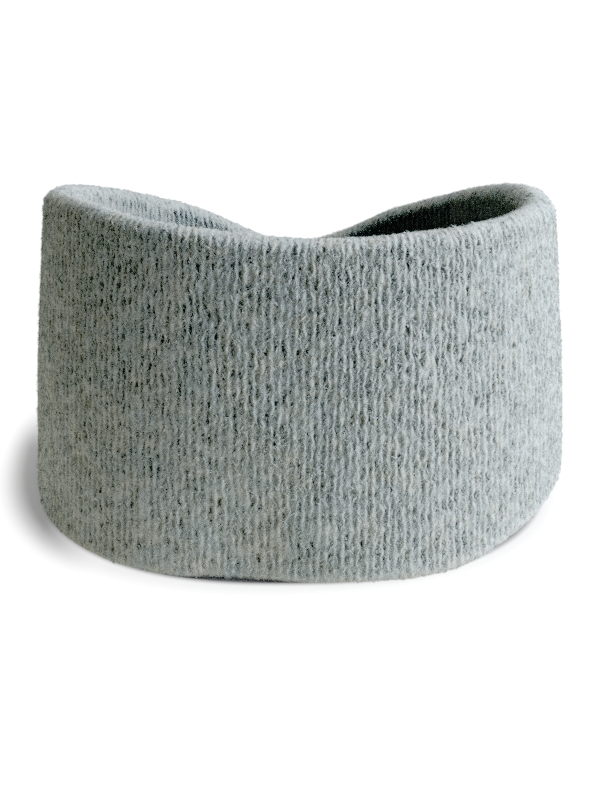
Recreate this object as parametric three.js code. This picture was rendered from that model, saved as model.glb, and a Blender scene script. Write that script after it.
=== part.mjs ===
import * as THREE from 'three';

// Ear warmer headband: one wide band of felted rib knit, doubled so that its top and bottom edges
// are soft folds. It is open right through for the head and stands on its bottom edge.
// Millimetres, +Z up, tall side towards -Y, low side towards +Y, origin under the middle.

// Driving sizes: width, depth and plan are those of the outer edge of the foot, rimInset is how far
// the top edge stands inside the foot, belly is the swell of the face half way up, and endLift is
// how high the foot rides clear of the table at the +X end
const bandWidth = 160;
const bandDepth = 146;
const bandHeight = 96.5;
const wall = 7.5;
const rimInset = 8.8;
const belly = 0.8;
const endLift = 8.5;

// How square the two halves of the plan are: 2 is an ellipse, more is fuller at the corners
const frontFullness = 2.4;
const backFullness = 2.25;

// The stretch of the foot that rides clear of the table, in degrees each side of the +X end
const liftReach = 63;

// Height of the top edge round the band, as a share of bandHeight. Turns run from +X towards +Y.
const rimRows = [
  { turn: 0, rise: 0.905 },
  { turn: 30, rise: 0.81 },
  { turn: 60, rise: 0.67 },
  { turn: 90, rise: 0.53 },
  { turn: 120, rise: 0.68 },
  { turn: 150, rise: 0.815 },
  { turn: 180, rise: 0.92 },
  { turn: 210, rise: 1.0 },
  { turn: 240, rise: 0.995 },
  { turn: 270, rise: 0.965 },
  { turn: 300, rise: 0.97 },
  { turn: 330, rise: 0.955 },
];

// Soft dents and swells of the tall side: push is a share of bandDepth, spread is in degrees
const dentRows = [
  { turn: 234, spread: 13, push: 0.005 },
  { turn: 256, spread: 13, push: -0.0155 },
  { turn: 276, spread: 13, push: 0.006 },
  { turn: 298, spread: 13, push: 0.007 },
];

// Fineness of the facets
const stations = 144;
const faceSteps = 7;
const rimSteps = 8;
const footSteps = 3;

// What follows from the sizes: the top edge is a half round of the wall, and the foot keeps a
// flat strip one third of the wall wide between its two rounded corners
const rimRadius = wall / 2;
const footRadius = wall / 3;

const rimCurve = new THREE.CatmullRomCurve3(
  rimRows.map((row) => new THREE.Vector3(row.turn, 0, row.rise)),
  true,
  'catmullrom',
  0.5,
);

function rimHeight(turn) {
  const share = THREE.MathUtils.euclideanModulo(turn, 360) / 360;
  return bandHeight * rimCurve.getPoint(share).z;
}

function turnsApart(turn, other) {
  return THREE.MathUtils.euclideanModulo(turn - other + 180, 360) - 180;
}

function footHeight(turn) {
  const liftStart = Math.cos(THREE.MathUtils.degToRad(liftReach));
  return endLift * THREE.MathUtils.smoothstep(Math.cos(THREE.MathUtils.degToRad(turn)), liftStart, 1);
}

// Outside of the foot, seen from above
function planPoint(turn) {
  const angle = THREE.MathUtils.degToRad(turn);
  const across = Math.abs(Math.cos(angle)) / (bandWidth / 2);
  const along = Math.abs(Math.sin(angle)) / (bandDepth / 2);
  const fullness = Math.sin(angle) < 0 ? frontFullness : backFullness;
  let radius = (across ** fullness + along ** fullness) ** (-1 / fullness);
  for (const dent of dentRows) {
    radius += bandDepth * dent.push * Math.exp(-((turnsApart(turn, dent.turn) / dent.spread) ** 2));
  }
  return new THREE.Vector2(radius * Math.cos(angle), radius * Math.sin(angle));
}

// Direction from the outside of the wall straight in to the hollow
function inwardAt(turn) {
  const chord = planPoint(turn + 0.5).sub(planPoint(turn - 0.5)).normalize();
  return new THREE.Vector2(-chord.y, chord.x);
}

// How far the outer face stands in from the foot's outline at a share of its height
function faceInset(share) {
  return rimInset * share - belly * Math.sin(Math.PI * share);
}

// One slice through the wall: x is the distance in from the foot's outline, y is the height.
// It runs up the outer face, over the top edge, down the inner face and under the foot.
function wallSection(turn) {
  const foot = footHeight(turn);
  const top = rimHeight(turn);
  const low = foot + footRadius;
  const high = top - rimRadius;
  const rimMiddle = faceInset(high / top) + rimRadius;
  const points = [];
  const add = (inward, height) => points.push(new THREE.Vector2(inward, height));
  for (let step = 0; step <= footSteps; step++) {
    const angle = (Math.PI / 2) * (step / footSteps);
    const lean = faceInset(low / top) * Math.sin(angle);
    add(lean + footRadius * (1 - Math.sin(angle)), low - footRadius * Math.cos(angle));
  }
  for (let step = 1; step <= faceSteps; step++) {
    const height = THREE.MathUtils.lerp(low, high, step / faceSteps);
    add(faceInset(height / top), height);
  }
  for (let step = 1; step < rimSteps; step++) {
    const angle = Math.PI * (step / rimSteps);
    add(rimMiddle - rimRadius * Math.cos(angle), high + rimRadius * Math.sin(angle));
  }
  for (let step = faceSteps; step >= 1; step--) {
    const height = THREE.MathUtils.lerp(low, high, step / faceSteps);
    add(faceInset(height / top) + wall, height);
  }
  for (let step = footSteps; step >= 0; step--) {
    const angle = (Math.PI / 2) * (step / footSteps);
    const lean = faceInset(low / top) * Math.sin(angle);
    add(lean + wall - footRadius * (1 - Math.sin(angle)), low - footRadius * Math.cos(angle));
  }
  return points;
}

// The band: every slice is joined to the next, right round the head hollow
function bandGeometry() {
  const positions = [];
  const faces = [];
  for (let station = 0; station < stations; station++) {
    const turn = (360 * station) / stations;
    const outline = planPoint(turn);
    const inward = inwardAt(turn);
    for (const point of wallSection(turn)) {
      positions.push(outline.x + inward.x * point.x, outline.y + inward.y * point.x, point.y);
    }
  }
  const slice = positions.length / 3 / stations;
  for (let station = 0; station < stations; station++) {
    const here = station * slice;
    const next = ((station + 1) % stations) * slice;
    for (let index = 0; index < slice; index++) {
      const following = (index + 1) % slice;
      faces.push(here + index, next + index, next + following);
      faces.push(here + index, next + following, here + following);
    }
  }
  const geometry = new THREE.BufferGeometry();
  geometry.setAttribute('position', new THREE.Float32BufferAttribute(positions, 3));
  geometry.setIndex(faces);
  geometry.computeBoundingBox();
  const middle = geometry.boundingBox.getCenter(new THREE.Vector3());
  geometry.translate(-middle.x, -middle.y, 0);
  geometry.computeVertexNormals();
  return geometry;
}

const feltedKnit = new THREE.MeshStandardMaterial({ color: 0x9aa29f, roughness: 0.95, metalness: 0 });

const group = new THREE.Group();
const band = new THREE.Mesh(bandGeometry(), feltedKnit);
band.name = 'band';
group.add(band);

export default group;
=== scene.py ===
import math

import bpy
import numpy as np
from mathutils import Matrix, Vector


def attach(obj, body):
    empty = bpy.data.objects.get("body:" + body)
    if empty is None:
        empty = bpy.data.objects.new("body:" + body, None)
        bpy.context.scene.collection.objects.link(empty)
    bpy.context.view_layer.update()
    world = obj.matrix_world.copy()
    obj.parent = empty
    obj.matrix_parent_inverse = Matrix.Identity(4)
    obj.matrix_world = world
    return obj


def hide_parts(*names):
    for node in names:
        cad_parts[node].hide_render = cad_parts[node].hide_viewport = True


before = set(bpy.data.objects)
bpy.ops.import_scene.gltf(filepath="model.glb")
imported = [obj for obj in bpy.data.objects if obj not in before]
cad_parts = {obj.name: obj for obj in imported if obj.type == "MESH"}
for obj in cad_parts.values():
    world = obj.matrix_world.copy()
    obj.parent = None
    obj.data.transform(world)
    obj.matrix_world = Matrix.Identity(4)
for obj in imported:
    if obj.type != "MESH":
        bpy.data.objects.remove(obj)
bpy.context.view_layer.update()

# The band's form, in metres and degrees, with the same sizes as the solid that it replaces
BAND_WIDTH = 0.160
BAND_DEPTH = 0.146
BAND_HEIGHT = 0.0965
WALL = 0.0075
FOOT_RADIUS = WALL / 3
RIM_INSET = 0.0088
BELLY = 0.0008
END_LIFT = 0.0085
FRONT_FULLNESS = 2.4
BACK_FULLNESS = 2.25
LIFT_REACH = 63.0
RIM_STEP = 30.0
RIM_RISE = np.array([0.905, 0.81, 0.67, 0.53, 0.68, 0.815, 0.92, 1.0, 0.995, 0.965, 0.97, 0.955])
DENTS = [
    {"turn": 234, "spread": 13, "push": 0.005},
    {"turn": 256, "spread": 13, "push": -0.0155},
    {"turn": 276, "spread": 13, "push": 0.006},
    {"turn": 298, "spread": 13, "push": 0.007},
]

# What the soft knit adds to that form: dents that fade upward between two shares of the height,
# a low swell under the top edge, and a thicker wall at the +X end
DENT_FADE = {"amount": 0.9, "start": 0.04, "end": 0.5}
COLLAR = {"turn": 290, "spread": 45, "share": 0.87, "band": 0.09, "push": 0.0009}
ROLL = {"turn": 2, "spread": 36, "swell": 0.5}

# The grid of the knit: rows along the wall's section, columns round the band
RIBS = 236
COLUMNS_PER_RIB = 6
SEGMENTS = 4
FOOT_ROWS = 5
FACE_ROWS = 112
RIM_ROWS = 12
LINER_ROWS = 40

# Relief of the ribs, in metres, and how it fades near the top edge and the foot
RIB_RELIEF = 0.00030
CREST_SHARPNESS = 0.8
LEAST_RIBBED = 0.12
LINER_RELIEF = 0.45
CREST_FADE = (0.001, 0.0065)
FOOT_FADE = (-0.0005, 0.003)

# Slits that open between the ribs: depth is a mean and a spread of shares of SLIT_DEPTH
SLIT_PITCH = 0.00375
SLIT_DEPTH = 0.00085
SLIT_WIDTH = 0.25
SLIT_LENGTH = 0.00135
SLITS = {"shift": 0.28, "depth": (0.85, 0.45), "deepest": 1.5, "length": (0.45, 1.35), "side": 0.1}

# Unevenness of the felt, as sums of smooth noises with so many cells round and rows along
FELT_SWELL = 0.00016
FELT_GRAIN = 0.00018
RIB_SWAY = 0.00034
ZIGZAG = 0.7
EVEN_RELIEF = 0.85
RELIEF_LIMITS = (0.15, 1.5)
RELIEF_NOISES = [
    {"amount": 0.25, "cells": 60, "rows": 24},
    {"amount": 0.5, "cells": RIBS, "rows": 90},
]
SWELL_NOISES = [
    {"amount": 1.0, "cells": 46, "rows": 20},
    {"amount": 0.6, "cells": 110, "rows": 46},
]
SWAY_NOISES = [
    {"amount": 1.1, "cells": RIBS, "rows": 70},
    {"amount": 1.0, "cells": RIBS // 2, "rows": 24},
]
SLANTED_GRAIN = {"cells": RIBS * 3, "rows": 80}
FINE_GRAIN = [{"amount": 0.5, "cells": RIBS * 3, "rows": 210}]
SEED = 7

# The wool: colours of its mixed fibres, and dark colours that also serve as painted shade in its rib grooves
# and slits
COOL_WOOL = (0.385, 0.45, 0.455, 1)
WARM_WOOL = (0.46, 0.48, 0.43, 1)
SHADE_WOOL = (0.33, 0.375, 0.37, 1)
PALE_WOOL = (0.56, 0.61, 0.58, 1)
DARK_WOOL_AND_GROOVE_SHADE = (0.20, 0.23, 0.22, 1)
SLIT_SHADE_WOOL = (0.06, 0.07, 0.068, 1)
HAIR_SHADES = [
    (0.0, (0.24, 0.27, 0.265, 1)),
    (0.04, (0.345, 0.395, 0.395, 1)),
    (0.35, (0.395, 0.455, 0.455, 1)),
    (0.6, (0.46, 0.485, 0.45, 1)),
    (0.88, (0.475, 0.525, 0.50, 1)),
    (1.0, (0.57, 0.62, 0.59, 1)),
]

# How the colours are laid: noise scales, and ramps from two values of a pattern to two amounts
PATCH_SCALE = 75.0
TINT_SCALE = 120.0
SPECK_SCALE = 1500.0
UNEVEN_SCALE = 900.0
TINT_RAMP = (0.38, 0.62, 0.0, 1.0)
PATCH_RAMP = (0.3, 0.7, 0.0, 0.35)
HAIR_RAMP = (0.5, 0.72, 0.0, 0.6)
SPECK_RAMP = (0.58, 0.74, 0.0, 0.15)
# Painted shade: this ramp darkens the colour in the slits where the knit opens
SLIT_SHADE_RAMP = (0.1, 0.8, 0.0, 0.4)
UNEVEN_RAMP = (0.35, 0.65, 0.0, 0.3)
RIGHT_HALF_RAMP = (0.35, 0.65, 1.0, 0.0)
# Painted shade: how far the grooves between the ribs are darkened in the colour
VALLEY_SHADE = 0.15
RIB_PITCH_MM = 2.05
DRAWN_HAIRS = {"left": (1.7, 3.0), "right": (1.7, 11.0), "upright": (2.4, 23.0)}
UPRIGHT_SLANT = 5
HAIR_STRETCH = 0.35
SPECK_HEIGHT = 0.4
BUMP_DISTANCE = 0.0005
FELT = {"Roughness": 0.95, "Specular IOR Level": 0.15, "Sheen Weight": 0.25, "Sheen Roughness": 0.5}

# Single hairs, in metres, degrees and radians: loose ones stand off the felt, the others lie in it
FIBRES = [
    {"name": "fuzz_face_1", "zone": "face", "count": 30000, "loose": 0.05, "crossing": 0.3},
    {"name": "fuzz_face_2", "zone": "face", "count": 30000, "loose": 0.05, "crossing": 0.3},
    {"name": "fuzz_face_3", "zone": "face", "count": 30000, "loose": 0.05, "crossing": 0.3},
    {"name": "fuzz_rim", "zone": "rim", "count": 14000, "loose": 0.12, "crossing": 0.9},
    {"name": "fuzz_liner", "zone": "liner", "count": 14000, "loose": 0.12, "crossing": 0.3},
]
HAIR_SLANT = 24
SLANT_SPREAD = 0.42
CROSSING_SLANT = 1.5
HAIR_BEND = 0.25
HAIR_TWIST = 0.25
HAIR_LENGTH = (0.0010, 0.0028)
HAIR_RADIUS = (0.00006, 0.00012)
LOOSE_RADIUS = 0.35
HAIR_DEPTH = (-0.00032, 0.00006)
ROOT_DEPTH = 0.0001
LOOSE_LIFT = (0.00015, 0.0004)
LYING_LIFT = (0.00003, 0.00012)
LOOSE_RISE = (0.0002, 0.0009)
LYING_RISE = (-0.0001, 0.0001)
LEAST_ROW_STEP = 0.0002

# The flat maps, from 0 to 1 both ways: where a stretch of knit and its two round ends lie, and
# where the four sides of a hair and their corners lie in the hair's own cell
MAP_LIMITS = (0.001, 0.999)
KNIT_SHARE = 0.95
END_MIDDLES = [(0.975, 0.03), (0.975, 0.08)]
END_RADIUS = 0.02
HAIR_SIDES = [(0, 0), (0.5, 0), (0, 0.5), (0.5, 0.5)]
SIDE_CORNERS = [(0.05, 0.05), (0.45, 0.05), (0.05, 0.45)]

# The camera, fitted to the band's outline: metres, radians and pixels
CAMERA_PLACE = (-0.00732, -0.4, 0.2077)
CAMERA_YAW = 0.0193
CAMERA_PITCH = 0.4366
CAMERA_ROLL = -0.0038
FOCAL_PIXELS = 1442.8
IMAGE_HEIGHT = 800
SENSOR = 36.0

# Exposure: the light that prints as white, and what lesser lights print as
WHITE = 2.2
TONES = [(0.045, 0.007), (0.1, 0.088), (0.16, 0.16), (0.25, 0.253), (0.5, 0.44), (0.9, 0.6), (1.5, 0.8)]
PIXEL_FILTER = 2.0
BOUNCE_CLAMP = 0.3

# The floor: rounded outlines about the band, each with a ramp from two reaches to two amounts, which paint a
# contact shadow, a soft shadow ring and a cast shadow into the floor's glow, and a glow near the band
FLOOR_SIZE = 8.0
FLOOR_ROUGHNESS = 0.9
FLOOR_LIGHT = 0.75
FLOOR_BOUNCE = (0.44, 0.415, 0.35, 1)
FLOOR_SEEN = (0.2, 0.2, 0.2, 1)
FLOOR_TINT = (1.03, 0.965, 0.835, 1)
BLACK = (0, 0, 0, 1)
PURE_WHITE = (1, 1, 1, 1)
CONTACT_SHADOW = {"middle": (-0.002, 0.0), "half": (0.0762, 0.0713), "ramp": (0.985, 1.02, 0.03, 1.0)}
HALO_SHADOW = {"middle": (-0.002, 0.0), "half": (0.0762, 0.0713), "ramp": (1.0, 1.14, 0.75, 1.0)}
CAST_SHADOW = {"middle": (-0.007, 0.014), "half": (0.0815, 0.089), "ramp": (0.95, 1.075, 0.84, 0.0)}
NEARBY_GLOW = {"middle": (0.0, 0.0), "half": (0.076, 0.071), "ramp": (1.2, 3.0, FLOOR_LIGHT, 0.0)}
CAST_SIDE = (-0.075, -0.055, 1.0, 0.0)
CAST_BACK = (0.01, 0.05, 1.0, 0.0)

# The room and its lamps: turns and rises in degrees, metres and watts
ROOM_TINT = (1, 1, 0.96, 1)
ROOM_LIGHT = 0.02
COOL_LIGHT = (0.82, 0.885, 0.98)
EVEN_LIGHT = (0.92, 0.92, 0.9)
WARM_LIGHT = (1.0, 0.97, 0.86)
LAMPS = [
    {
        "name": "key",
        "turn": -8,
        "rise": 25,
        "distance": 0.7,
        "size": (0.32, 0.36),
        "power": 13.2,
        "tint": COOL_LIGHT,
    },
    {
        "name": "front",
        "turn": -38,
        "rise": 6,
        "distance": 1.4,
        "size": (0.8, 0.25),
        "power": 11,
        "tint": COOL_LIGHT,
    },
    {
        "name": "top",
        "turn": 50,
        "rise": 70,
        "distance": 1.4,
        "size": (0.6, 0.6),
        "power": 15,
        "tint": EVEN_LIGHT,
    },
    {
        "name": "left",
        "turn": 172,
        "rise": 3,
        "distance": 1.4,
        "size": (0.9, 0.16),
        "power": 7,
        "tint": WARM_LIGHT,
    },
]


def turns_apart(turn, other):
    return np.mod(turn - other + 180, 360) - 180


def smooth_step(value, low, high):
    share = np.clip((value - low) / (high - low), 0, 1)
    return share * share * (3 - 2 * share)


def rim_height(turn):
    """Height of the top edge, on a smooth closed line through the table's rises."""
    place = np.mod(turn, 360) / RIM_STEP
    index = np.floor(place).astype(int)
    part = place - index
    before, here, after, beyond = (RIM_RISE[(index + k) % len(RIM_RISE)] for k in (-1, 0, 1, 2))
    slope = after - before
    bend = 2 * before - 5 * here + 4 * after - beyond
    twist = 3 * here - before - 3 * after + beyond
    return BAND_HEIGHT * 0.5 * (2 * here + slope * part + bend * part**2 + twist * part**3)


def foot_height(turn):
    start = math.cos(math.radians(LIFT_REACH))
    near = np.clip((np.cos(np.radians(turn)) - start) / (1 - start), 0, 1)
    return END_LIFT * near * near * (3 - 2 * near)


def dent_depth(turn):
    """How far the dents and swells of the foot push its outline out, in metres."""
    depth = np.zeros_like(turn)
    for dent in DENTS:
        away = turns_apart(turn, dent["turn"]) / dent["spread"]
        depth = depth + BAND_DEPTH * dent["push"] * np.exp(-(away**2))
    return depth


def plan_point(turn):
    """Outside of the foot, seen from above."""
    across, along = np.cos(np.radians(turn)), np.sin(np.radians(turn))
    full = np.where(along < 0, FRONT_FULLNESS, BACK_FULLNESS)
    width_part = np.abs(across / (BAND_WIDTH / 2)) ** full
    depth_part = np.abs(along / (BAND_DEPTH / 2)) ** full
    radius = (width_part + depth_part) ** (-1 / full) + dent_depth(turn)
    return np.stack([radius * across, radius * along], -1)


def inward_at(turn):
    """Direction from the outside of the wall straight in to the hollow."""
    chord = plan_point(turn + 0.5) - plan_point(turn - 0.5)
    chord /= np.linalg.norm(chord, axis=-1, keepdims=True)
    return np.stack([-chord[..., 1], chord[..., 0]], -1)


def face_inset(share):
    """How far the outer face stands in from the foot's outline at a share of its height."""
    return RIM_INSET * share - BELLY * np.sin(np.pi * share)


def collar_push(turn, share, rows):
    """The low swell of the outer face under the top edge, in metres."""
    beside = turns_apart(turn, COLLAR["turn"]) / COLLAR["spread"]
    above = (share - COLLAR["share"]) / COLLAR["band"]
    outer = np.arange(rows)[:, None] < FOOT_ROWS + FACE_ROWS + RIM_ROWS / 2
    return COLLAR["push"] * np.exp(-(beside**2) - above**2) * outer


def wall_sections(turn):
    """Slices through the wall, one column each: distance in from the foot, height, and length walked."""
    foot, top = foot_height(turn), rim_height(turn)
    away = turns_apart(turn, ROLL["turn"]) / ROLL["spread"]
    wall = WALL * (1 + ROLL["swell"] * np.exp(-(away**2)))
    radius = wall / 2
    low, high = foot + FOOT_RADIUS, top - radius
    foot_angles = np.linspace(0, np.pi / 2, FOOT_ROWS + 1)[:, None]
    lean = face_inset(low / top) * np.sin(foot_angles)
    corner_in = lean + FOOT_RADIUS * (1 - np.sin(foot_angles))
    corner_up = low - FOOT_RADIUS * np.cos(foot_angles)
    rise = low + (high - low) * np.linspace(0, 1, FACE_ROWS + 1)[1:, None]
    rim_angles = (np.pi * np.arange(1, RIM_ROWS) / RIM_ROWS)[:, None]
    rim_middle = face_inset(high / top) + radius
    fall = high + (low - high) * np.linspace(0, 1, LINER_ROWS + 1)[:-1, None]
    inner_in = (lean + wall - FOOT_RADIUS * (1 - np.sin(foot_angles)))[::-1]
    inward = np.concatenate([
        corner_in,
        face_inset(rise / top),
        rim_middle - radius * np.cos(rim_angles),
        face_inset(fall / top) + wall,
        inner_in,
    ])
    height = np.concatenate([
        corner_up,
        rise,
        high + radius * np.sin(rim_angles),
        fall,
        corner_up[::-1],
    ])
    faded = smooth_step(height / top, DENT_FADE["start"], DENT_FADE["end"])
    inward = inward + dent_depth(turn) * DENT_FADE["amount"] * faded
    inward = inward - collar_push(turn, height / top, len(inward))
    walked = np.zeros_like(inward)
    walked[1:] = np.cumsum(np.hypot(np.diff(inward, axis=0), np.diff(height, axis=0)), axis=0)
    return inward, height, walked


def rib_turns(ribs):
    """The turn at each rib coordinate, with the ribs evenly spaced along the outline, and its length."""
    turns = np.linspace(0, 360, 3601)
    steps = np.linalg.norm(np.diff(plan_point(turns), axis=0), axis=-1)
    length = np.concatenate([[0], np.cumsum(steps)])
    return np.interp(np.mod(ribs, RIBS) / RIBS * length[-1], length, turns), length[-1]


def lattice_noise(random, across, along, cells, rows):
    """Smooth noise from -1 to 1 that closes on itself round the band; across runs 0 to 1."""
    table = random.uniform(-1, 1, (cells, rows + 2))
    x, y = across * cells, np.clip(along, 0, 0.9999) * rows
    i, j = np.floor(x).astype(int), np.floor(y).astype(int)
    fx, fy = x - i, y - j
    fx, fy = fx * fx * (3 - 2 * fx), fy * fy * (3 - 2 * fy)
    i, k = i % cells, (i + 1) % cells
    low = table[i, j] * (1 - fx) + table[k, j] * fx
    high = table[i, j + 1] * (1 - fx) + table[k, j + 1] * fx
    return low * (1 - fy) + high * fy


def add_noises(random, value, across, along, noises):
    for part in noises:
        value = value + part["amount"] * lattice_noise(random, across, along, part["cells"], part["rows"])
    return value


def slits(random, rib, walked):
    """How open the knit is: staggered slits, each with its own place, length and depth."""
    valley = np.floor(rib).astype(int) % RIBS
    count = int(walked.max() / SLIT_PITCH) + 4
    shift = random.uniform(-SLITS["shift"], SLITS["shift"], (RIBS, count))
    deep = np.clip(random.normal(*SLITS["depth"], (RIBS, count)), 0.0, SLITS["deepest"])
    long = random.uniform(*SLITS["length"], (RIBS, count))
    side = random.normal(0, SLITS["side"], (RIBS, count))
    place = walked / SLIT_PITCH - 0.5 * (valley % 2)
    found = np.zeros_like(walked)
    for neighbour in (0, 1):
        row = np.clip(np.floor(place).astype(int) + neighbour, 0, count - 1)
        along = (place - row - shift[valley, row]) * SLIT_PITCH / (SLIT_LENGTH * long[valley, row])
        across = (rib - np.floor(rib) - 0.5 - side[valley, row]) / SLIT_WIDTH
        found = np.maximum(found, deep[valley, row] * np.exp(-(across**2)) / (1 + along**4))
    return found


def herringbone(random, rib, round_share, share, lean):
    """Grain that slants one way on one half of each rib and the other way on its other half."""
    leftward = lattice_noise(random, round_share + lean, share, **SLANTED_GRAIN)
    rightward = lattice_noise(random, round_share - lean, share, **SLANTED_GRAIN)
    return np.where(np.mod(rib + 0.5, 1) < 0.5, leftward, rightward)


def knit_surface():
    """The felted surface as a grid that closes both ways, with its rib, walked length and openness."""
    random = np.random.default_rng(SEED)
    columns = RIBS * COLUMNS_PER_RIB
    ribs = np.arange(columns) / COLUMNS_PER_RIB
    turns, girth = rib_turns(ribs)
    inward, height, walked = wall_sections(turns)
    rib = np.broadcast_to(ribs, walked.shape)
    round_share = rib / RIBS
    outline, aim = plan_point(turns), inward_at(turns)
    points = np.empty(walked.shape + (3,))
    points[..., 0] = outline[:, 0] + aim[:, 0] * inward
    points[..., 1] = outline[:, 1] + aim[:, 1] * inward
    points[..., 2] = height
    points[..., :2] -= (points[..., :2].max((0, 1)) + points[..., :2].min((0, 1))) / 2
    down = np.roll(points, -1, 0) - np.roll(points, 1, 0)
    round_way = np.roll(points, -1, 1) - np.roll(points, 1, 1)
    normal = np.cross(round_way, down)
    normal /= np.linalg.norm(normal, axis=-1, keepdims=True)
    round_way /= np.linalg.norm(round_way, axis=-1, keepdims=True)

    rows = np.arange(len(walked))[:, None]
    rim_start = FOOT_ROWS + FACE_ROWS
    rim_end = rim_start + RIM_ROWS
    to_crest = np.abs(walked - (walked[rim_start] + walked[rim_end]) / 2)
    from_foot, to_foot = walked - walked[FOOT_ROWS], walked[-1 - FOOT_ROWS] - walked
    off_foot = np.where(rows < rim_start, from_foot, to_foot)
    fade = smooth_step(to_crest, *CREST_FADE) * smooth_step(off_foot, *FOOT_FADE)
    ribbed = LEAST_RIBBED + (1 - LEAST_RIBBED) * fade
    ribbed = ribbed * np.where(rows > rim_end, LINER_RELIEF, 1.0)
    share = walked / walked.max()
    patchy = add_noises(random, EVEN_RELIEF, round_share, share, RELIEF_NOISES)
    patchy = np.clip(patchy, *RELIEF_LIMITS)
    crest = 0.5 + 0.5 * np.cos(2 * np.pi * rib)
    open_knit = slits(random, rib, walked) * ribbed * np.clip(patchy, 0, 1)
    swell = add_noises(random, 0, round_share, share, SWELL_NOISES)
    lean = math.tan(math.radians(HAIR_SLANT)) * walked / girth
    grain = herringbone(random, rib, round_share, share, lean)
    grain = add_noises(random, grain, round_share, share, FINE_GRAIN)
    lift = -RIB_RELIEF * ribbed * patchy * (1 - crest**CREST_SHARPNESS) - SLIT_DEPTH * open_knit
    lift = lift + FELT_SWELL * swell + FELT_GRAIN * grain
    sway = ZIGZAG * np.cos(np.pi * rib) * np.cos(2 * np.pi * walked / SLIT_PITCH)
    sway = add_noises(random, sway, round_share, share, SWAY_NOISES)
    shell = points + normal * (FELT_SWELL * swell)[..., None]
    points = points + normal * lift[..., None] + round_way * (RIB_SWAY * ribbed * sway)[..., None]
    points[..., 2] = np.maximum(points[..., 2], 0)
    return {
        "points": points,
        "shell": shell,
        "normal": normal,
        "walked": walked,
        "hollow": np.clip(open_knit, 0, 1),
        "valley": (1 - crest) * ribbed,
        "girth": girth,
        "rim": (rim_start, rim_end),
    }


def mesh_object(name, points, faces, material, smooth=True):
    """A piece of knit from points and faces, where faces of unlike sizes come as a list."""
    if isinstance(faces, list):
        sizes = np.array([len(face) for face in faces])
        corners = np.concatenate(faces)
    else:
        sizes = np.full(len(faces), faces.shape[1])
        corners = faces.ravel()
    mesh = bpy.data.meshes.new(name)
    mesh.vertices.add(len(points))
    mesh.vertices.foreach_set("co", np.asarray(points, np.float32).ravel())
    mesh.loops.add(len(corners))
    mesh.loops.foreach_set("vertex_index", corners.astype(np.int32))
    mesh.polygons.add(len(sizes))
    mesh.polygons.foreach_set("loop_start", (np.cumsum(sizes) - sizes).astype(np.int32))
    mesh.polygons.foreach_set("use_smooth", np.full(len(sizes), smooth))
    mesh.update(calc_edges=True)
    mesh.materials.append(material)
    made = bpy.data.objects.new(name, mesh)
    bpy.context.scene.collection.objects.link(made)
    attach(made, "root")
    return made


def add_values(piece, name, values):
    layer = piece.data.attributes.new(name, "FLOAT", "POINT")
    layer.data.foreach_set("value", np.asarray(values, np.float32).ravel())


def lay_flat(piece, places):
    """A flat map of the piece, with one place from 0 to 1 both ways for each corner of its faces."""
    layer = piece.data.uv_layers.new(name="OFBake")
    layer.data.foreach_set("uv", np.clip(places, *MAP_LIMITS).astype(np.float32).ravel())


def lay_segment_flat(piece, rows, width):
    """The knit spreads over most of the map, and its two ends lie in small rounds beside it."""
    across = np.array([0, 1, 1, 0]) + np.arange(width)[None, :, None]
    down = np.array([0, 0, 1, 1]) + np.arange(rows)[:, None, None]
    across, down = np.broadcast_arrays(across * KNIT_SHARE / width, down / rows)
    knit = np.stack([across.ravel(), down.ravel()], -1)
    turn = 2 * np.pi * np.arange(rows) / rows
    end = END_RADIUS * np.stack([np.cos(turn), np.sin(turn)], -1)
    lay_flat(piece, np.concatenate([knit] + [end + middle for middle in END_MIDDLES]))


def lay_hairs_flat(piece, count):
    """Each hair has a square cell of its own, and each of its four sides a quarter of that."""
    side = math.ceil(math.sqrt(count))
    cell = np.stack([np.arange(count) % side, np.arange(count) // side], -1)[:, None, None, :]
    quarter = np.array(HAIR_SIDES)[None, :, None, :]
    corner = np.array(SIDE_CORNERS)[None, None, :, :]
    lay_flat(piece, ((cell + quarter + corner) / side).reshape(-1, 2))


def knit_segments(surface, material):
    """The band in equal stretches, each a closed mesh that meets the next in a groove between ribs."""
    rows, columns = surface["walked"].shape
    width = columns // SEGMENTS
    for segment in range(SEGMENTS):
        first = segment * width + COLUMNS_PER_RIB // 2
        picked = np.arange(first, first + width + 1)
        wrapped = picked % columns
        points = surface["points"][:, wrapped].reshape(-1, 3)
        index = np.arange(rows * (width + 1)).reshape(rows, width + 1)
        under = np.roll(index, -1, 0)
        quads = np.stack([index[:, :-1], index[:, 1:], under[:, 1:], under[:, :-1]], -1).reshape(-1, 4)
        caps = [index[:, 0], index[::-1, -1]]
        piece = mesh_object(f"knit_{segment + 1}", points, list(quads) + caps, material)
        smooth = np.ones(len(piece.data.polygons), bool)
        smooth[-len(caps):] = False
        piece.data.polygons.foreach_set("use_smooth", smooth)
        add_values(piece, "rib", np.broadcast_to(picked / COLUMNS_PER_RIB, (rows, width + 1)))
        for name in ("walked", "hollow", "valley"):
            add_values(piece, name, surface[name][:, wrapped])
        lay_segment_flat(piece, rows, width)
        if segment == 0:
            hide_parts("band")


def node(tree, kind, inputs=None, **settings):
    made = tree.nodes.new(kind)
    for name, value in settings.items():
        setattr(made, name, value)
    for name, value in (inputs or {}).items():
        if isinstance(value, bpy.types.NodeSocket):
            tree.links.new(value, made.inputs[name])
        else:
            made.inputs[name].default_value = value
    return made


def new_material(name):
    material = bpy.data.materials.new(name)
    material.use_nodes = True
    tree = material.node_tree
    return material, tree, tree.nodes["Principled BSDF"]


def attribute(tree, name):
    return node(tree, "ShaderNodeAttribute", attribute_name=name).outputs["Fac"]


def math_node(tree, operation, first, second):
    return node(tree, "ShaderNodeMath", {0: first, 1: second}, operation=operation).outputs[0]


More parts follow.
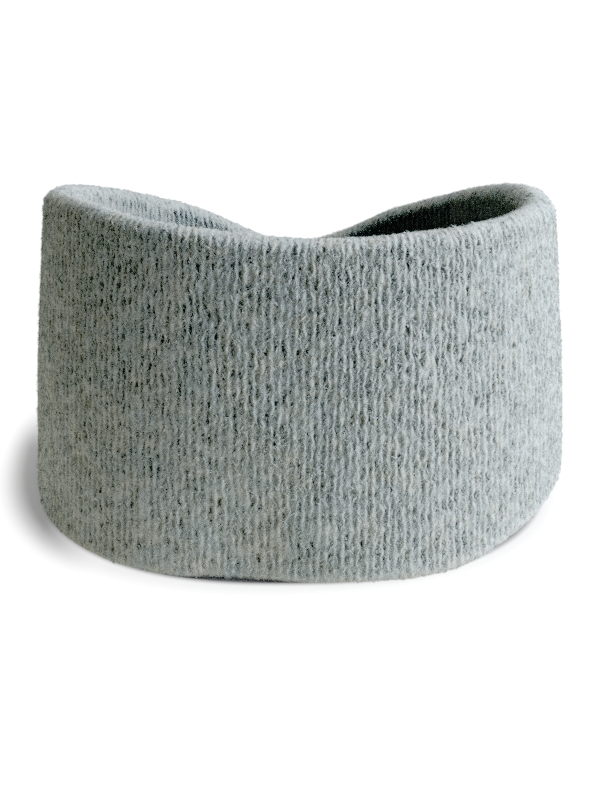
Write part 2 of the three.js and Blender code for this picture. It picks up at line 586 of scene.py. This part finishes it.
def vector_math(tree, operation, first, second):
    return node(tree, "ShaderNodeVectorMath", {0: first, 1: second}, operation=operation).outputs[0]


def ramp(tree, factor, low, high, from_value, to_value):
    inputs = {"Value": factor, "From Min": low, "From Max": high, "To Min": from_value, "To Max": to_value}
    return node(tree, "ShaderNodeMapRange", inputs, interpolation_type="SMOOTHSTEP").outputs["Result"]


def mix_colour(tree, factor, first, second):
    made = node(tree, "ShaderNodeMix", data_type="RGBA")
    for socket, value in ((made.inputs[0], factor), (made.inputs[6], first), (made.inputs[7], second)):
        if isinstance(value, bpy.types.NodeSocket):
            tree.links.new(value, socket)
        else:
            socket.default_value = value
    return made.outputs[2]


def soften(shader):
    for name, value in FELT.items():
        shader.inputs[name].default_value = value


def knit_material():
    """Heather wool: cool and warm fibres mixed, with painted shade in the rib grooves and where the knit
    opens, hairs slanting off each rib.
    """
    material, tree, shader = new_material("felted_knit")
    place = node(tree, "ShaderNodeTexCoord").outputs["Object"]
    rib, walked = attribute(tree, "rib"), attribute(tree, "walked")
    hollow, valley = attribute(tree, "hollow"), attribute(tree, "valley")
    round_mm = math_node(tree, "MULTIPLY", rib, RIB_PITCH_MM)
    walked_mm = math_node(tree, "MULTIPLY", walked, 1000.0)
    flat = node(tree, "ShaderNodeCombineXYZ", {"X": round_mm, "Y": walked_mm}).outputs[0]
    side = math_node(tree, "FRACT", rib, 0.0)

    def noise(vector, scale, detail=2.0, roughness=0.6):
        inputs = {"Vector": vector, "Scale": scale, "Detail": detail, "Roughness": roughness}
        return node(tree, "ShaderNodeTexNoise", inputs).outputs["Fac"]

    def hairs(slant, across, shift):
        turn = {"Vector": flat, "Angle": math.radians(slant)}
        turned = node(tree, "ShaderNodeVectorRotate", turn, rotation_type="Z_AXIS").outputs[0]
        squeezed = vector_math(tree, "MULTIPLY", turned, (across, across * HAIR_STRETCH, 1.0))
        return noise(vector_math(tree, "ADD", squeezed, (shift, shift, shift)), 1.0)

    left = hairs(HAIR_SLANT, *DRAWN_HAIRS["left"])
    right = hairs(-HAIR_SLANT, *DRAWN_HAIRS["right"])
    right_half = ramp(tree, side, *RIGHT_HALF_RAMP)
    swept = node(tree, "ShaderNodeMix", {0: right_half, 2: left, 3: right}).outputs[0]
    hair = math_node(tree, "MAXIMUM", swept, hairs(UPRIGHT_SLANT, *DRAWN_HAIRS["upright"]))
    patch = noise(place, PATCH_SCALE, 3.0)
    tint = noise(place, TINT_SCALE, 4.0, 0.65)
    speck = noise(place, SPECK_SCALE)
    wool = mix_colour(tree, ramp(tree, tint, *TINT_RAMP), COOL_WOOL, WARM_WOOL)
    wool = mix_colour(tree, ramp(tree, patch, *PATCH_RAMP), wool, SHADE_WOOL)
    wool = mix_colour(tree, ramp(tree, hair, *HAIR_RAMP), wool, PALE_WOOL)
    wool = mix_colour(tree, ramp(tree, speck, *SPECK_RAMP), wool, DARK_WOOL_AND_GROOVE_SHADE)
    # Painted shade: the grooves between the ribs are darkened in the colour
    wool = mix_colour(tree, math_node(tree, "MULTIPLY", valley, VALLEY_SHADE), wool, DARK_WOOL_AND_GROOVE_SHADE)
    # Painted shade: the slits where the knit opens are darkened in the colour
    wool = mix_colour(tree, ramp(tree, hollow, *SLIT_SHADE_RAMP), wool, SLIT_SHADE_WOOL)
    tree.links.new(wool, shader.inputs["Base Color"])
    fine = math_node(tree, "ADD", hair, math_node(tree, "MULTIPLY", speck, SPECK_HEIGHT))
    bump = node(tree, "ShaderNodeBump", {"Height": fine, "Strength": 1.0, "Distance": BUMP_DISTANCE})
    tree.links.new(bump.outputs["Normal"], shader.inputs["Normal"])
    soften(shader)
    return material


def fibre_material():
    """Single hairs of the same heather, each in its own shade, from charcoal to nearly white."""
    material, tree, shader = new_material("loose_wool")
    place = node(tree, "ShaderNodeTexCoord").outputs["Object"]
    shades = node(tree, "ShaderNodeValToRGB", {0: attribute(tree, "shade")})
    stops = shades.color_ramp.elements
    while len(stops) < len(HAIR_SHADES):
        stops.new(1.0)
    for stop, (position, colour) in zip(stops, HAIR_SHADES):
        stop.position, stop.color = position, colour
    inputs = {"Vector": place, "Scale": UNEVEN_SCALE, "Detail": 1.0}
    uneven = node(tree, "ShaderNodeTexNoise", inputs).outputs["Fac"]
    colour = mix_colour(tree, ramp(tree, uneven, *UNEVEN_RAMP), shades.outputs[0], COOL_WOOL)
    tree.links.new(colour, shader.inputs["Base Color"])
    soften(shader)
    return material


def grid_lookup(grid, row, column):
    """Values of a closed grid between its points."""
    rows, columns = grid.shape[:2]
    i, j = np.floor(row).astype(int), np.floor(column).astype(int)
    fi, fj = (row - i)[:, None], (column - j)[:, None]
    i, k = i % rows, (i + 1) % rows
    j, m = j % columns, (j + 1) % columns
    low = grid[i, j] * (1 - fj) + grid[i, m] * fj
    high = grid[k, j] * (1 - fj) + grid[k, m] * fj
    return low * (1 - fi) + high * fi


def either(random, picked, first, second):
    """A random value for each hair, within the first range where it is picked and the second elsewhere."""
    return np.where(picked, random.uniform(*first, len(picked)), random.uniform(*second, len(picked)))


def fibre_mesh(name, roots, tips, ridge, facing, radius, shade, material):
    """Leaf-shaped hairs of four sides: a line from root to tip, and a short ridge across its middle."""
    across = np.cross(tips - roots, facing)
    across *= (radius / np.linalg.norm(across, axis=-1))[:, None]
    points = np.stack([roots, tips, ridge - across, ridge + across], 1).reshape(-1, 3)
    points[:, 2] = np.maximum(points[:, 2], 0)
    pattern = np.array([(0, 2, 3), (1, 3, 2), (0, 3, 1), (0, 1, 2)])
    faces = (np.arange(len(roots))[:, None, None] * 4 + pattern).reshape(-1, 3)
    piece = mesh_object(name, points, faces, material, smooth=False)
    add_values(piece, "shade", np.repeat(shade, 4))
    lay_hairs_flat(piece, len(roots))


def loose_fibres(surface, material):
    """Hairs of the felted surface: most lie close along the ribs, some stand away from it."""
    random = np.random.default_rng(SEED + 1)
    rows, columns = surface["walked"].shape
    rim_start, rim_end = surface["rim"]
    zones = {
        "face": (1, rim_start + 1),
        "rim": (rim_start - 3, rim_end + 5),
        "liner": (rim_end + 2, rows - 1),
    }
    rises = np.roll(surface["walked"], -1, 0) - surface["walked"]
    steps = np.maximum(rises, LEAST_ROW_STEP)[..., None]
    pitch = surface["girth"] / columns
    for kind in FIBRES:
        count = kind["count"]
        low, high = zones[kind["zone"]]
        row = low + (high - low) * random.random(count)
        column = random.random(count) * columns
        step = grid_lookup(steps, np.clip(row, 0, rows - 3), column)[:, 0]
        length = random.uniform(*HAIR_LENGTH, count)
        side = np.sign(np.mod(column / COLUMNS_PER_RIB + 0.5, 1) - 0.5)
        slant = side * math.radians(HAIR_SLANT) + random.normal(0, SLANT_SPREAD, count)
        crossing = random.random(count) < kind["crossing"]
        angle = np.where(crossing, random.uniform(-CROSSING_SLANT, CROSSING_SLANT, count), slant)
        angle = angle + np.pi * (random.random(count) < 0.5)
        loose = random.random(count) < kind["loose"]
        bend = random.normal(0, HAIR_BEND, count)
        places = []
        for share in (0.0, 0.5, 1.0):
            turned = angle + bend * (share - 0.5)
            r = row + share * length * np.cos(turned) / step
            c = column + share * length * np.sin(turned) / pitch
            places.append((grid_lookup(surface["shell"], r, c), grid_lookup(surface["normal"], r, c)))
        (root, root_normal), (middle, middle_normal), (tip, tip_normal) = places
        depth = np.where(loose, 0.0, random.uniform(*HAIR_DEPTH, count))
        lift = depth + either(random, loose, LOOSE_LIFT, LYING_LIFT)
        rise = depth + either(random, loose, LOOSE_RISE, LYING_RISE)
        root = root + (depth - ROOT_DEPTH)[:, None] * root_normal
        tip = tip + rise[:, None] * tip_normal
        ridge = middle + lift[:, None] * middle_normal
        radius = np.where(loose, LOOSE_RADIUS, 1.0) * random.uniform(*HAIR_RADIUS, count)
        facing = middle_normal + random.normal(0, HAIR_TWIST, (count, 3))
        fibre_mesh(kind["name"], root, tip, ridge, facing, radius, random.random(count), material)


def add_camera():
    data = bpy.data.cameras.new("camera")
    data.sensor_width = SENSOR
    data.lens = FOCAL_PIXELS * SENSOR / IMAGE_HEIGHT
    data.clip_start = 0.01
    data.clip_end = 50
    camera = bpy.data.objects.new("camera", data)
    bpy.context.scene.collection.objects.link(camera)
    ahead = math.cos(CAMERA_PITCH)
    forward = Vector((math.sin(CAMERA_YAW) * ahead, math.cos(CAMERA_YAW) * ahead, -math.sin(CAMERA_PITCH)))
    level = Vector((math.cos(CAMERA_YAW), -math.sin(CAMERA_YAW), 0))
    upright = level.cross(forward)
    right = level * math.cos(CAMERA_ROLL) + upright * math.sin(CAMERA_ROLL)
    up = upright * math.cos(CAMERA_ROLL) - level * math.sin(CAMERA_ROLL)
    turn = Matrix((right, up, -forward)).transposed()
    camera.matrix_world = Matrix.Translation(CAMERA_PLACE) @ turn.to_4x4()
    bpy.context.scene.camera = camera


def floor_mask(tree, parts, outline):
    """The outline's amounts, by how far out a point is: 1 on the outline, less inside and more outside."""
    terms = []
    for axis, centre, extent in zip("XY", outline["middle"], outline["half"]):
        offset = math_node(tree, "DIVIDE", math_node(tree, "SUBTRACT", parts[axis], centre), extent)
        size = math_node(tree, "ABSOLUTE", offset, 0.0)
        terms.append(math_node(tree, "POWER", size, FRONT_FULLNESS))
    reach = math_node(tree, "POWER", math_node(tree, "ADD", *terms), 1 / FRONT_FULLNESS)
    return ramp(tree, reach, *outline["ramp"])


def floor_material():
    """White floor that glows as a light table does, with painted shadows in its glow where the band stands
    and to its left, and a painted glow near the band that lights it from below.
    """
    material, tree, shader = new_material("floor")
    place = node(tree, "ShaderNodeTexCoord").outputs["Object"]
    parts = node(tree, "ShaderNodeSeparateXYZ", {0: place}).outputs
    # Painted contact shadow: the floor's glow fades out at the band's foot
    contact_shadow = floor_mask(tree, parts, CONTACT_SHADOW)
    # Painted cast shadow: the glow is dimmed to the band's left, fading out towards the back and towards the
    # middle
    cast = floor_mask(tree, parts, CAST_SHADOW)
    cast = math_node(tree, "MULTIPLY", cast, ramp(tree, parts["Y"], *CAST_BACK))
    cast = math_node(tree, "MULTIPLY", cast, ramp(tree, parts["X"], *CAST_SIDE))
    shadow = math_node(tree, "SUBTRACT", 1.0, cast)
    # Painted soft shadow: a faint ring of dimmer glow round the band's foot
    shadow = math_node(tree, "MULTIPLY", shadow, floor_mask(tree, parts, HALO_SHADOW))
    seen = node(tree, "ShaderNodeLightPath").outputs["Is Camera Ray"]
    # Painted light: near the band the floor glows for light rays, tinted warm, and lights the band from
    # below
    nearby_glow = floor_mask(tree, parts, NEARBY_GLOW)
    glow = node(tree, "ShaderNodeMix", {0: seen, 2: nearby_glow, 3: WHITE}).outputs[0]
    strength = math_node(tree, "MULTIPLY", math_node(tree, "MULTIPLY", contact_shadow, shadow), glow)
    # Painted shade: under and inside the band the floor is black for light rays
    bounce_with_painted_shade = mix_colour(tree, contact_shadow, BLACK, FLOOR_BOUNCE)
    tree.links.new(mix_colour(tree, seen, bounce_with_painted_shade, FLOOR_SEEN), shader.inputs["Base Color"])
    shader.inputs["Roughness"].default_value = FLOOR_ROUGHNESS
    tree.links.new(mix_colour(tree, seen, FLOOR_TINT, PURE_WHITE), shader.inputs["Emission Color"])
    tree.links.new(strength, shader.inputs["Emission Strength"])
    material.cycles.emission_sampling = "NONE"
    return material


def add_floor():
    corners = [(x * FLOOR_SIZE, y * FLOOR_SIZE, 0) for x, y in ((-1, -1), (1, -1), (1, 1), (-1, 1))]
    mesh = bpy.data.meshes.new("floor")
    mesh.from_pydata(corners, [], [(0, 1, 2, 3)])
    mesh.materials.append(floor_material())
    floor = bpy.data.objects.new("floor", mesh)
    bpy.context.scene.collection.objects.link(floor)


def add_lamp(name, turn, rise, distance, size, power, tint):
    """A soft lamp that looks at the band from a turn round it and a rise above the floor, in degrees."""
    data = bpy.data.lights.new(name, "AREA")
    data.shape = "RECTANGLE"
    data.size, data.size_y = size
    data.energy = power
    data.color = tint
    lamp = bpy.data.objects.new(name, data)
    turn, rise = math.radians(turn), math.radians(rise)
    aim = Vector((math.cos(rise) * math.cos(turn), math.cos(rise) * math.sin(turn), math.sin(rise)))
    lamp.location = aim * distance
    lamp.rotation_euler = aim.to_track_quat("Z", "Y").to_euler()
    bpy.context.scene.collection.objects.link(lamp)


def add_world():
    """A white room to look at, which sheds only a little light of its own."""
    world = bpy.data.worlds.new("studio")
    world.use_nodes = True
    tree = world.node_tree
    tree.nodes.clear()
    seen = node(tree, "ShaderNodeBackground", {"Color": PURE_WHITE, "Strength": WHITE})
    shed = node(tree, "ShaderNodeBackground", {"Color": ROOM_TINT, "Strength": ROOM_LIGHT})
    camera_ray = node(tree, "ShaderNodeLightPath").outputs["Is Camera Ray"]
    mixed = node(tree, "ShaderNodeMixShader", {0: camera_ray, 1: shed.outputs[0], 2: seen.outputs[0]})
    node(tree, "ShaderNodeOutputWorld", {0: mixed.outputs[0]})
    bpy.context.scene.world = world


def expose():
    """Prints the picture as a camera does, with dark tones pressed down and light ones held back."""
    scene = bpy.context.scene
    scene.view_settings.view_transform = "Standard"
    scene.view_settings.use_curve_mapping = True
    mapping = scene.view_settings.curve_mapping
    mapping.white_level = (WHITE, WHITE, WHITE)
    curve = mapping.curves[3]
    curve.points[0].location = (0, 0)
    curve.points[1].location = (1, 1)
    for light, shown in TONES:
        curve.points.new(light / WHITE, shown)
    mapping.update()
    # The felt's hairs are finer than a pixel, and denoising would wipe them away
    scene.cycles.use_denoising = False
    scene.cycles.filter_width = PIXEL_FILTER
    # Light that has bounced more than once would only speckle the shade inside the band
    scene.cycles.sample_clamp_indirect = BOUNCE_CLAMP


add_camera()
add_floor()
add_world()
for lamp in LAMPS:
    add_lamp(**lamp)
expose()

surface = knit_surface()
knit_segments(surface, knit_material())
loose_fibres(surface, fibre_material())
